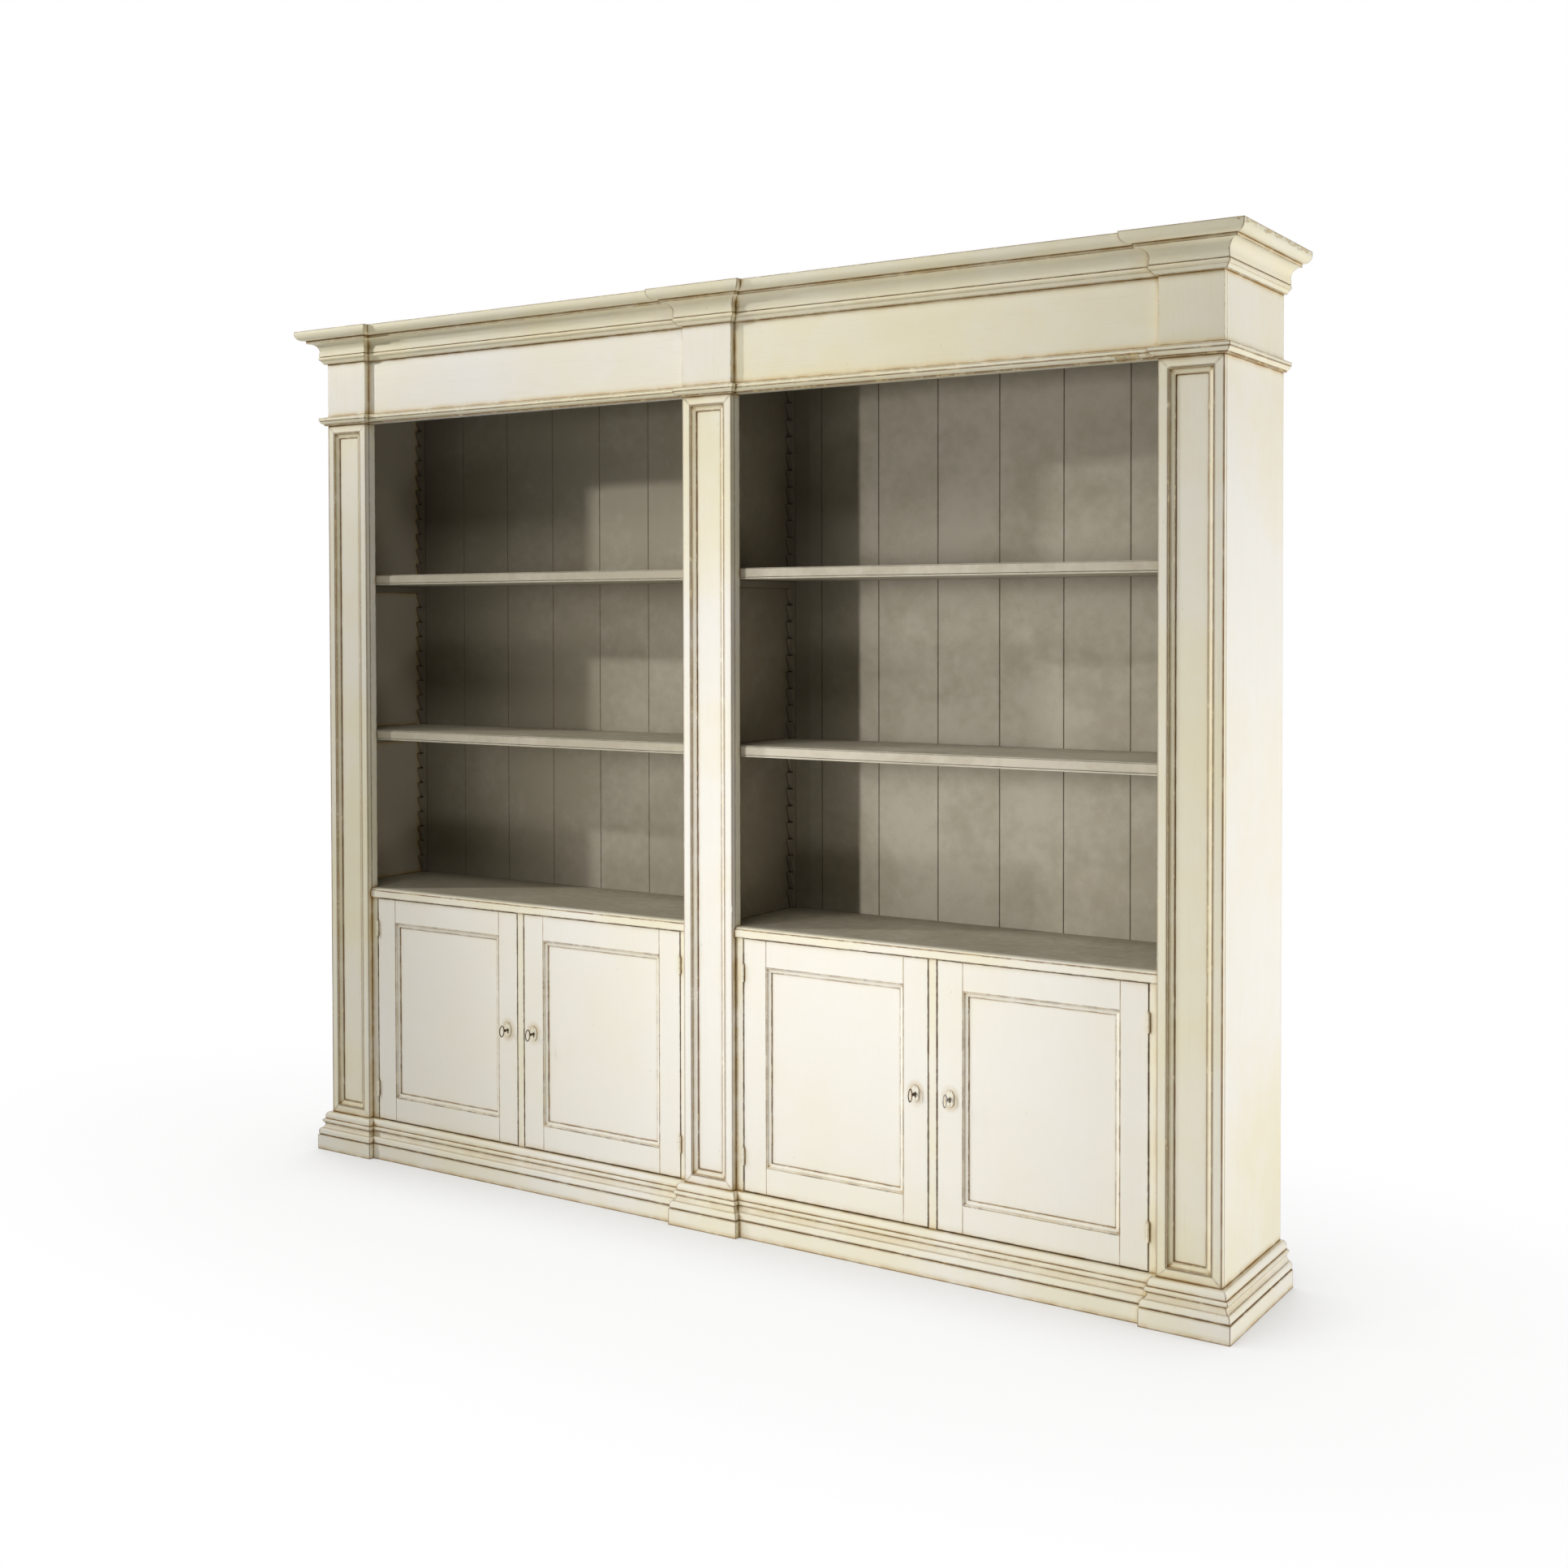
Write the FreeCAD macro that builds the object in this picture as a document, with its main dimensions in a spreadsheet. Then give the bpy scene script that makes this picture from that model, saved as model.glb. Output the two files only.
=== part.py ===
"""Wide painted bookcase with cabinet doors: three pilasters, two open bays above, two cupboards below.

Millimetres. +Z is up, the front faces -Y and the origin is the middle of the footprint at floor level.
"""
import FreeCAD, Part
import Sketcher
import math
import os
import re

Vector = FreeCAD.Vector
ALONG_X, ALONG_Y, ALONG_Z = Vector(1, 0, 0), Vector(0, 1, 0), Vector(0, 0, 1)

# ---------------------------------------------------------------- driving sizes
SIZES = (
    # carcass
    ("body_width", 2860, "side panel to side panel"),
    ("body_depth", 400, "pilaster face to back edge"),
    ("total_height", 2500, "floor to cornice top"),
    ("side_thick", 20, "outer side panels"),
    ("divider_thick", 20, "each of the two middle panels"),
    ("top_thick", 22, "carcass top panels"),
    ("floor_thick", 18, "cupboard floors"),
    ("floor_drop", 4, "cupboard floor below the base top"),
    ("bearer_thick", 20, "bearers under the cupboard floors"),
    ("back_inset", 10, "back boards in from the back edge"),
    ("back_board_thick", 14, "upright back boards"),
    ("back_board_wide", 185, "joint to joint"),
    ("back_groove", 1.2, "bevel at each board joint"),
    ("lower_back_thick", 8, "plain back of the cupboards"),
    # pilasters and face frame
    ("pilaster_width", 158, "face width"),
    ("pilaster_step", 16, "pilaster face in front of the bays"),
    ("post_thick", 23, "posts and face frame"),
    ("pilaster_margin", 24, "mitred frame round the panel"),
    ("pilaster_sink", 10.5, "panel below the frame face"),
    ("face_stile", 24, "cupboard stile beside a pilaster"),
    ("mullion_width", 22, "upright between two doors"),
    # base
    ("base_high", 112, "floor to base moulding top"),
    ("plinth_high", 44, "plinth board"),
    ("base_reach", 32, "plinth in front of the pilaster"),
    ("plinth_ease", 2, "rounded top arris of the plinth"),
    ("base_foot", 28, "lowest member, out from the body"),
    ("base_fillet", 30, "fillet, out from the body"),
    ("base_fillet_low", 3, "above the plinth"),
    ("base_fillet_high", 12, "top of the fillet above the plinth"),
    ("base_ovolo_out", 25, "top of the ovolo, out from the body"),
    ("base_ovolo_top", 20, "above the plinth"),
    ("base_cove_out", 23, "foot of the cove, out from the body"),
    ("base_cove_in", 16.5, "head of the cove, out from the body"),
    ("base_cove_top", 35, "above the plinth"),
    ("base_bead_in", 18.5, "root of the bead, out from the body"),
    ("base_bead_low", 37, "above the plinth"),
    ("base_bead", 11, "height of the bead"),
    ("base_neck", 16, "shoulder above the bead, out from the body"),
    ("base_neck_high", 53, "above the plinth"),
    ("base_ledge", 9, "top ledge, out from the body"),
    # frieze and mouldings
    ("cornice_high", 96, "cornice height"),
    ("cornice_reach", 70, "cornice in front of the frieze"),
    ("cornice_seat", 18, "cornice over the boards that carry it"),
    ("cornice_toe", 8, "lowest fillet"),
    ("cornice_bead_in", 15, "root of the bead"),
    ("cornice_bead_low", 10, "bead above the frieze"),
    ("cornice_bead", 12, "height of the bead"),
    ("cornice_cove_in", 18, "foot of the cove"),
    ("cornice_cove_low", 31, "foot of the cove above the frieze"),
    ("cornice_cove_out", 36, "head of the cove"),
    ("cornice_cove_top", 61, "head of the cove above the frieze"),
    ("cornice_cove_bend", 24, "radius of the cove"),
    ("cornice_shelf", 45, "fillet over the cove"),
    ("cornice_torus_low", 69, "underside of the torus above the frieze"),
    ("cornice_torus", 19, "radius of the torus"),
    ("frieze_high", 187, "necking underside to cornice"),
    ("neck_high", 28, "necking moulding"),
    ("neck_reach", 20, "necking in front of the frieze"),
    ("neck_toe", 8, "lowest fillet"),
    ("neck_toe_high", 3.5, "height of the lowest fillet"),
    ("neck_ovolo_out", 18, "head of the ovolo"),
    ("neck_ovolo_top", 14, "head of the ovolo above the underside"),
    ("neck_fillet_top", 23, "head of the fillet above the underside"),
    # waist between cupboards and open bays
    ("waist_level", 812, "top of the waist"),
    ("waist_thick", 26, "waist board and its front moulding"),
    ("waist_set", 10, "waist moulding behind the pilaster face"),
    ("waist_lip", 6, "rounded step along the top edge"),
    ("waist_lip_in", 2.5, "step back to the rounding"),
    # adjustable shelves, their racks and cleats
    ("rack_thick", 13, "rack and cleat, off the wall"),
    ("rack_base", 15, "solid strip behind the teeth"),
    ("rack_tooth", 15, "length of a ledge"),
    ("rack_pitch", 47, "ledge to ledge"),
    ("rack_first", 53, "first ledge above the waist"),
    ("rack_nose", 4, "upright tip of a tooth"),
    ("cleat_high", 20, "cleat under a shelf end"),
    ("cleat_play", 0.4, "cleat to rack"),
    ("lower_ledge_count", 8, "ledges below the lower shelf"),
    ("upper_ledge_count", 18, "ledges below the upper shelf"),
    ("shelf_thick", 29, "shelf and nosing"),
    ("shelf_play", 1.5, "shelf to walls and racks"),
    ("shelf_set", 1, "shelf behind the posts"),
    ("nosing_deep", 16, "shelf nosing, front to back"),
    ("nosing_bead", 4, "bead along the nosing's lower edge"),
    ("nosing_quirk", 1.5, "groove over the bead"),
    ("nosing_step", 3, "step along the nosing's upper edge"),
    # doors
    ("door_gap", 3, "round each door"),
    ("door_thick", 20, "door frame"),
    ("door_stile", 70, "door stiles"),
    ("door_rail", 70, "door rails"),
    ("panel_sink", 9, "door panel below the frame"),
    ("panel_thick", 6, "door panel"),
    ("panel_tongue", 8, "door panel in its grooves"),
    ("mould_wide", 13, "door panel moulding"),
    ("pilaster_mould_wide", 16, "pilaster panel moulding"),
    ("mould_bead", 3, "bead along a panel moulding's outer edge"),
    ("mould_quirk", 1, "step behind that bead"),
    ("mould_foot", 2.5, "fillet where a moulding meets its panel"),
    # hinges
    ("hinge_inset", 91, "hinge centre to door end"),
    ("hinge_high", 46, "hinge leaf"),
    ("hinge_set", 4.5, "hinge axis in front of the door face"),
    ("knuckle_radius", 3.5, "hinge knuckle"),
    ("hinge_pin_radius", 1.5, "hinge pin"),
    ("pin_play", 0.05, "pin in a knuckle that turns"),
    ("hinge_play", 0.3, "between knuckles"),
    ("leaf_thick", 2, "hinge leaf"),
    ("leaf_proud", 1, "leaf out of the wood"),
    ("leaf_deep", 19, "leaf, front to back"),
    ("pin_cap_radius", 2.6, "cap of the hinge pin"),
    ("pin_cap_high", 2.5, "cap of the hinge pin"),
    # locks
    ("lock_level", 444, "key axis above the floor"),
    ("case_long", 48, "lock case, from the door edge"),
    ("case_thick", 12, "lock case, front to back"),
    ("case_above", 24, "lock case above the key"),
    ("case_below", 13, "lock case below the key"),
    ("case_wall", 1.5, "sheet of the lock case"),
    ("bolt_long", 40, "bolt"),
    ("bolt_high", 8, "bolt"),
    ("bolt_thick", 6, "bolt, front to back"),
    ("bolt_rise", 10, "bolt above the key axis"),
    ("bolt_play", 0.1, "bolt in its slot"),
    ("strike_deep", 7, "pocket for the thrown bolt"),
    ("strike_high", 38, "strike plate"),
    ("strike_thick", 1.5, "strike plate"),
    ("strike_play", 0.6, "thrown bolt in the strike"),
    ("key_radius", 2.5, "key shank"),
    ("key_play", 0.05, "shank in its hole"),
    ("key_bit_drop", 9, "bit below the key axis"),
    ("key_bit_thick", 2.2, "bit"),
    ("key_bit_deep", 6, "bit, front to back"),
    ("key_collar_radius", 4, "collar on the shank"),
    ("key_collar_long", 3, "collar on the shank"),
    ("bow_out", 26.5, "bow centre in front of the door"),
    ("bow_tall", 15.6, "half height of the bow at its wire"),
    ("bow_wide", 8.8, "half width of the bow at its wire"),
    ("bow_wire", 1.4, "radius of the bow's wire"),
    ("plate_tall", 42, "escutcheon"),
    ("plate_wide", 23, "escutcheon"),
    ("plate_thick", 1.6, "escutcheon"),
    ("keyhole_room", 1.2, "keyhole in plate and wood, round the key"),
    ("tack_radius", 1.6, "escutcheon tack head"),
    ("tack_high", 1.1, "escutcheon tack head"),
    ("tack_inset", 4.3, "tack to the escutcheon's end"),
)

# Places and spans worked out from the sizes above.
PLACES = {
    "front": "(cornice_reach - body_depth) / 2",
    "back": "(cornice_reach + body_depth) / 2",
    "bay_face": "front + pilaster_step",
    "post_back": "bay_face + post_thick",
    "back_board_back": "back - back_inset",
    "rear_face": "back_board_back - back_board_thick",
    "half_body": "body_width / 2",
    "bay_in": "pilaster_width / 2",
    "bay_out": "half_body - pilaster_width",
    "bay_mid": "(bay_in + bay_out) / 2",
    "wall_in": "divider_thick",
    "wall_out": "half_body - side_thick",
    "wall_mid": "(wall_in + wall_out) / 2",
    "depth_mid": "(post_back + rear_face) / 2",
    "frieze_top": "total_height - cornice_high",
    "neck_bottom": "frieze_top - frieze_high",
    "ceiling": "frieze_top - top_thick",
    "waist_under": "waist_level - waist_thick",
    "floor_level": "base_high - floor_drop",
    "floor_under": "floor_level - floor_thick",
    "door_left": "bay_in + face_stile + door_gap",
    "door_right": "bay_mid - mullion_width / 2 - door_gap",
    "door_low": "base_high + door_gap",
    "door_high": "waist_under - door_gap",
    "door_back": "bay_face + door_thick",
    "open_left": "door_left + door_stile",
    "open_right": "door_right - door_stile",
    "open_low": "door_low + door_rail",
    "open_high": "door_high - door_rail",
    "panel_face": "bay_face + panel_sink",
    "hinge_x": "door_left - door_gap / 2",
    "hinge_y": "bay_face - hinge_set",
    "leaf_front": "hinge_y + knuckle_radius + hinge_play",
    "knuckle_high": "(hinge_high - 2 * hinge_play) / 3",
    "lock_x": "door_right - door_stile / 2",
    "lock_back": "door_back - case_wall",
    "lock_front": "door_back - case_thick",
    "bolt_mid": "door_back - case_thick / 2",
    "bolt_low": "lock_level + bolt_rise",
    "tooth_drop": "rack_pitch - rack_nose",
    "tooth_line": "rear_face - rack_base",
    "cleat_slant": "rack_tooth * cleat_high / tooth_drop",
}

doc = FreeCAD.newDocument("bookcase_with_cabinet_doors")
sheet = doc.addObject("Spreadsheet::Sheet", "Sizes")
for row, (alias, value, note) in enumerate(SIZES, 1):
    sheet.set(f"A{row}", alias)
    sheet.set(f"B{row}", str(value))
    sheet.set(f"C{row}", note)
    sheet.setAlias(f"B{row}", alias)
doc.recompute()

SIZE_NAMES = {alias for alias, value, note in SIZES}
NODES = []


def ref(text):
    """Spell an expression out in cells of the sheet."""
    def spell(match):
        word = match.group()
        if word in SIZE_NAMES:
            return f"Sizes.{word}"
        if word in PLACES:
            return f"({ref(PLACES[word])})"
        return word
    return re.sub(r"[a-z][a-z_]*", spell, text)


def number(text):
    """The present value of an expression."""
    return float(sheet.evalExpression(ref(text).replace("Sizes.", "")))


def bind(piece, **places):
    """Bind properties to expressions; a double underscore in a name stands for a dot."""
    for name, text in places.items():
        piece.setExpression(name.replace("__", "."), ref(text))
    return piece


def put(piece, x="0", y="0", z="0"):
    """Place a piece by expressions."""
    return bind(piece, Placement__Base__x=x, Placement__Base__y=y, Placement__Base__z=z)


# ---------------------------------------------------------------- ways to make a piece
def board(label, x, y, z):
    """A square-edged board from its low and high place along each axis."""
    piece = doc.addObject("Part::Box", label)
    spans = [f"({high}) - ({low})" for low, high in (x, y, z)]
    bind(piece, Length=spans[0], Width=spans[1], Height=spans[2])
    return put(piece, x[0], y[0], z[0])


def rod(label, x, y, z, radius, length, along=ALONG_Z):
    """A round rod that starts at a point and runs along an axis."""
    piece = doc.addObject("Part::Cylinder", label)
    piece.Placement.Rotation = FreeCAD.Rotation(ALONG_Z, along)
    bind(piece, Radius=radius, Height=length)
    return put(piece, x, y, z)


def outline(label, points, plane, x="0", y="0", z="0", closed=True):
    """A sketch through points (u, v), or (u, v, turn, radius) where the run to that point is an arc."""
    sketch = doc.addObject("Sketcher::SketchObject", label)
    places = [Vector(number(point[0]), number(point[1]), 0) for point in points]
    runs = []
    for index in range(len(points) if closed else len(points) - 1):
        following = (index + 1) % len(points)
        start, end = places[index], places[following]
        if len(points[following]) == 2:
            runs.append((sketch.addGeometry(Part.LineSegment(start, end), False), 1, 2))
            continue
        turn, radius = points[following][2:]
        chord = end - start
        bend = number(radius)
        rise = math.sqrt(bend ** 2 - chord.Length ** 2 / 4) * (1 if turn == "ccw" else -1)
        centre = (start + end) / 2 + Vector(-chord.y, chord.x, 0).normalize() * rise
        first, last = (start, end) if turn == "ccw" else (end, start)
        angles = [math.atan2(place.y - centre.y, place.x - centre.x) for place in (first, last)]
        angles[1] += 2 * math.pi if angles[1] < angles[0] else 0
        arc = sketch.addGeometry(Part.ArcOfCircle(Part.Circle(centre, ALONG_Z, bend), *angles), False)
        held = sketch.addConstraint(Sketcher.Constraint("Radius", arc, bend))
        sketch.setExpression(f"Constraints[{held}]", ref(radius))
        runs.append((arc, 1, 2) if turn == "ccw" else (arc, 2, 1))
    corners = [(run, start) for run, start, end in runs]
    if closed:
        joins = zip(runs, runs[1:] + runs[:1])
    else:
        joins = zip(runs, runs[1:])
        corners.append((runs[-1][0], runs[-1][2]))
    for (run, start, end), (other, other_start, other_end) in joins:
        sketch.addConstraint(Sketcher.Constraint("Coincident", run, end, other, other_start))
    for point, place, (run, end) in zip(points, places, corners):
        for kind, text, value in (("DistanceX", point[0], place.x), ("DistanceY", point[1], place.y)):
            held = sketch.addConstraint(Sketcher.Constraint(kind, -1, 1, run, end, value))
            sketch.setExpression(f"Constraints[{held}]", ref(text))
    sketch.Placement.Rotation = FreeCAD.Rotation(plane[0], plane[1], plane[0].cross(plane[1]), "XYZ")
    return put(sketch, x, y, z)


PLAN = (ALONG_X, ALONG_Y)
SECTION = (ALONG_Y, ALONG_Z)
ELEVATION = (ALONG_X, ALONG_Z)


def extruded(label, sketch, length):
    """A piece of one cross-section, as long as its length says."""
    piece = doc.addObject("Part::Extrusion", label)
    piece.Base = sketch
    piece.DirMode = "Normal"
    piece.Solid = True
    return bind(piece, LengthFwd=length)


def swept(label, profile, path):
    """A moulding that follows a path, mitred at its corners."""
    piece = doc.addObject("Part::Sweep", label)
    piece.Sections = [profile]
    piece.Spine = (path, [])
    piece.Solid = True
    piece.Transition = "Right corner"
    return piece


def joined(label, pieces):
    """One solid made of parts that meet."""
    piece = doc.addObject("Part::MultiFuse", label)
    piece.Shapes = pieces
    return piece


def group(label, pieces):
    """Separate solids that share a node."""
    piece = doc.addObject("Part::Compound", label)
    piece.Links = pieces
    return piece


def cut(label, base, *tools):
    """A piece with recesses or holes."""
    piece = doc.addObject("Part::Cut", label)
    piece.Base = base
    piece.Tool = tools[0] if len(tools) == 1 else joined(f"{label}_tools", list(tools))
    return piece


def mirrored(label, source, across="0", normal=ALONG_X):
    """The mirror image across a plane."""
    piece = doc.addObject("Part::Mirroring", label)
    piece.Source = source
    piece.Normal = normal
    axis = "xyz"[[abs(value) for value in normal].index(1)]
    piece.setExpression(f"Base.{axis}", ref(across))
    return piece


def both_sides(label, *pieces):
    """Pieces of the right half together with their mirror images in the left half."""
    return group(label, [*pieces, *(mirrored(f"{piece.Label}_twin", piece) for piece in pieces)])


def keep(piece, label):
    """Name a finished sub-part after its node."""
    piece.Label = label
    NODES.append(piece)
    return piece


# ---------------------------------------------------------------- carcass
def carcass():
    side = board("side", ("wall_out", "half_body"), ("bay_face", "back"), ("0", "frieze_top"))
    keep(both_sides("sides", side), "side_panels")

    divider = board("divider", ("0", "divider_thick"), ("post_back", "back"), ("0", "frieze_top"))
    keep(both_sides("dividers", divider), "centre_dividers")

    span = ("wall_in", "wall_out")
    top = board("top", span, ("post_back", "back"), ("ceiling", "frieze_top"))
    keep(both_sides("tops", top), "carcass_tops")

    waist = board("waist", span, ("post_back", "rear_face"), ("waist_under", "waist_level"))
    keep(both_sides("waists", waist), "waist_boards")

    floor = board("floor", span, ("post_back", "rear_face"), ("floor_under", "floor_level"))
    keep(both_sides("floors", floor), "cupboard_floors")

    middle = ("depth_mid - bearer_thick / 2", "depth_mid + bearer_thick / 2")
    bearer = board("bearer", span, middle, ("0", "floor_under"))
    rear = board("rear_bearer", span, ("rear_face - bearer_thick", "rear_face"), ("0", "floor_under"))
    keep(both_sides("bearers", bearer, rear), "floor_bearers")

    panel = board("lower_back", span, ("rear_face", "rear_face + lower_back_thick"), ("0", "waist_under"))
    keep(both_sides("lower_backs", panel), "cupboard_backs")


def back_boards():
    """Upright boards with bevelled joints, set out from the middle of the bay."""
    wide = number("back_board_wide")
    before = math.ceil((number("bay_mid") - number("wall_in")) / wide) - 1
    after = math.ceil((number("wall_out") - number("bay_mid")) / wide) - 1
    joints = [f"bay_mid + {count} * back_board_wide" for count in range(-before, after + 1)]
    edges = ["wall_in", *joints, "wall_out"]
    boards = []
    for count, (left, right) in enumerate(zip(edges, edges[1:])):
        points = (
            (left, "rear_face + back_groove"),
            (f"{left} + back_groove", "rear_face"),
            (f"{right} - back_groove", "rear_face"),
            (right, "rear_face + back_groove"),
            (right, "back_board_back"),
            (left, "back_board_back"),
        )
        sketch = outline(f"back_board_{count}_outline", points, PLAN, z="waist_under")
        boards.append(extruded(f"back_board_{count}", sketch, "ceiling - waist_under"))
    keep(both_sides("back_boards", *boards), "upper_back_boards")


# ---------------------------------------------------------------- pilasters and face frame
def panel_ring(label, x, z, face, sink, wide):
    """A mitred moulding round the inside of a frame, from the frame's face down to its panel."""
    middle = f"(({x[0]}) + ({x[1]})) / 2"
    around = [(middle, z[0]), (x[1], z[0]), (x[1], z[1]), (x[0], z[1]), (x[0], z[0])]
    path = outline(f"{label}_path", around, ELEVATION, y=face)
    shoulder = "mould_bead + mould_quirk"
    points = (
        (sink, "0"),
        ("mould_quirk", "0"),
        ("mould_quirk", "mould_bead", "cw", "mould_bead * 0.6"),
        (shoulder, shoulder),
        (f"{sink} - mould_foot", f"{wide} - mould_foot", "ccw", f"{wide}"),
        (f"{sink} - mould_foot", wide),
        (sink, wide),
    )
    profile = outline(f"{label}_profile", points, SECTION, middle, face, z[0])
    return swept(label, profile, path)


def pilaster(label, left, right):
    """Mitred frame, panel and panel moulding of one pilaster."""
    low, high = "base_high", "neck_bottom"
    inner = (f"{left} + pilaster_margin", f"{right} - pilaster_margin")
    level = (f"{low} + pilaster_margin", f"{high} - pilaster_margin")
    sides = {
        "left_stile": ((left, low), (inner[0], level[0]), (inner[0], level[1]), (left, high)),
        "right_stile": ((right, low), (right, high), (inner[1], level[1]), (inner[1], level[0])),
        "bottom_rail": ((left, low), (right, low), (inner[1], level[0]), (inner[0], level[0])),
        "top_rail": ((left, high), (inner[0], level[1]), (inner[1], level[1]), (right, high)),
    }
    frame = []
    for name, points in sides.items():
        sketch = outline(f"{label}_{name}_outline", points, ELEVATION, y="bay_face")
        frame.append(extruded(f"{label}_{name}", sketch, "pilaster_step"))
    panel = board(f"{label}_panel", inner, ("front + pilaster_sink", "bay_face"), level)
    ring = panel_ring(f"{label}_ring", inner, level, "front", "pilaster_sink", "pilaster_mould_wide")
    return frame, panel, ring


def pilasters():
    middle = ("-bay_in", "bay_in")
    outer = ("bay_out", "half_body")
    middle_frame, middle_panel, middle_ring = pilaster("middle", *middle)
    outer_frame, outer_panel, outer_ring = pilaster("outer", *outer)
    outer_frames = both_sides("outer_frames", *outer_frame)
    keep(group("frames", [*middle_frame, outer_frames]), "pilaster_frames")
    keep(group("panels", [middle_panel, both_sides("outer_panels", outer_panel)]), "pilaster_panels")
    keep(group("rings", [middle_ring, both_sides("outer_rings", outer_ring)]), "pilaster_mouldings")

    thick = ("bay_face", "post_back")
    middle_post = board("middle_post", middle, thick, ("0", "frieze_top"))
    outer_post = board("outer_post", ("bay_out", "wall_out"), thick, ("0", "frieze_top"))
    keep(group("posts", [middle_post, both_sides("outer_posts", outer_post)]), "pilaster_posts")

    proud = ("front", "bay_face")
    blocks = []
    for name, level in (("foot", ("0", "base_high")), ("head", ("neck_bottom", "frieze_top"))):
        blocks.append(board(f"middle_{name}", middle, proud, level))
        blocks.append(both_sides(f"outer_{name}s", board(f"outer_{name}", outer, proud, level)))
    keep(group("blocks", blocks), "pilaster_blocks")


def strike(label):
    """Strike plate in the mullion's left side, and the pocket behind it."""
    edge = "bay_mid - mullion_width / 2"
    depth = ("lock_front", "post_back")
    level = ("bolt_low + bolt_high / 2 - strike_high / 2", "bolt_low + bolt_high / 2 + strike_high / 2")
    plate = board(f"{label}_blank", (edge, f"{edge} + strike_thick"), depth, level)
    thrown = (
        ("bolt_mid - bolt_thick / 2 - strike_play", "bolt_mid + bolt_thick / 2 + strike_play"),
        ("bolt_low - strike_play", "bolt_low + bolt_high + strike_play"),
    )
    slot = board(f"{label}_slot", (edge, f"{edge} + strike_thick"), *thrown)
    pocket = board(f"{label}_pocket", (edge, f"{edge} + strike_deep"), *thrown)
    return plate, cut(label, plate, slot), pocket


def face_frame(leaf_beds):
    """Cupboard stiles, mullions and bottom rails, bedded for hinge leaves and strikes."""
    thick = ("bay_face", "post_back")
    level = ("base_high", "waist_under")
    stile = board("stile_blank", ("bay_in", "bay_in + face_stile"), thick, level)
    stile = cut("stile", stile, *leaf_beds)
    far_stile = mirrored("far_stile", stile, "bay_mid")

    bed, plate, pocket = strike("strike")
    far_plate = mirrored("far_strike", plate, "bay_mid")
    beds = [bed, pocket]
    beds += [mirrored(f"far_{piece.Label}", piece, "bay_mid") for piece in (bed, pocket)]
    half = "mullion_width / 2"
    mullion = board("mullion_blank", (f"bay_mid - {half}", f"bay_mid + {half}"), thick, level)
    mullion = cut("mullion", mullion, *beds)

    rail = board("bottom_rail", ("bay_in", "bay_out"), thick, ("0", "base_high"))
    keep(both_sides("frame_boards", stile, far_stile, mullion, rail), "face_frame")
    keep(both_sides("strikes", plate, far_plate), "strike_plates")


def waist_moulding():
    """Moulded front edge of the waist, between the pilasters."""
    lip = "waist_level - waist_lip"
    points = (
        ("front + waist_set", "waist_under"),
        ("front + waist_set", lip),
        ("front + waist_set + waist_lip_in", lip),
        ("front + waist_set + waist_lip_in + waist_lip", "waist_level", "cw", "waist_lip"),
        ("post_back", "waist_level"),
        ("post_back", "waist_under"),
    )
    sketch = outline("waist_moulding_profile", points, SECTION, x="bay_in")
    piece = extruded("waist_moulding", sketch, "bay_out - bay_in")
    keep(both_sides("waist_mouldings_pair", piece), "waist_mouldings")


# ---------------------------------------------------------------- mouldings that go round the body
def around(label, level):
    """Plan line of the body: down one side, along the front with its three breaks, up the other."""
    right = [("bay_in", "front"), ("bay_in", "bay_face"), ("bay_out", "bay_face"), ("bay_out", "front")]
    right += [("half_body", "front"), ("half_body", "back")]
    left = [(f"-({x})", y) for x, y in reversed(right)]
    return outline(label, left + right, PLAN, z=level, closed=False)


def round_moulding(label, points, level):
    """A moulding of the given section, measured out from the body and up from its level."""
    path = around(f"{label}_path", level)
    outward = (-ALONG_X, ALONG_Z)
    profile = outline(f"{label}_profile", points, outward, "-half_body", "back", level)
    return swept(label, profile, path)


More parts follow.
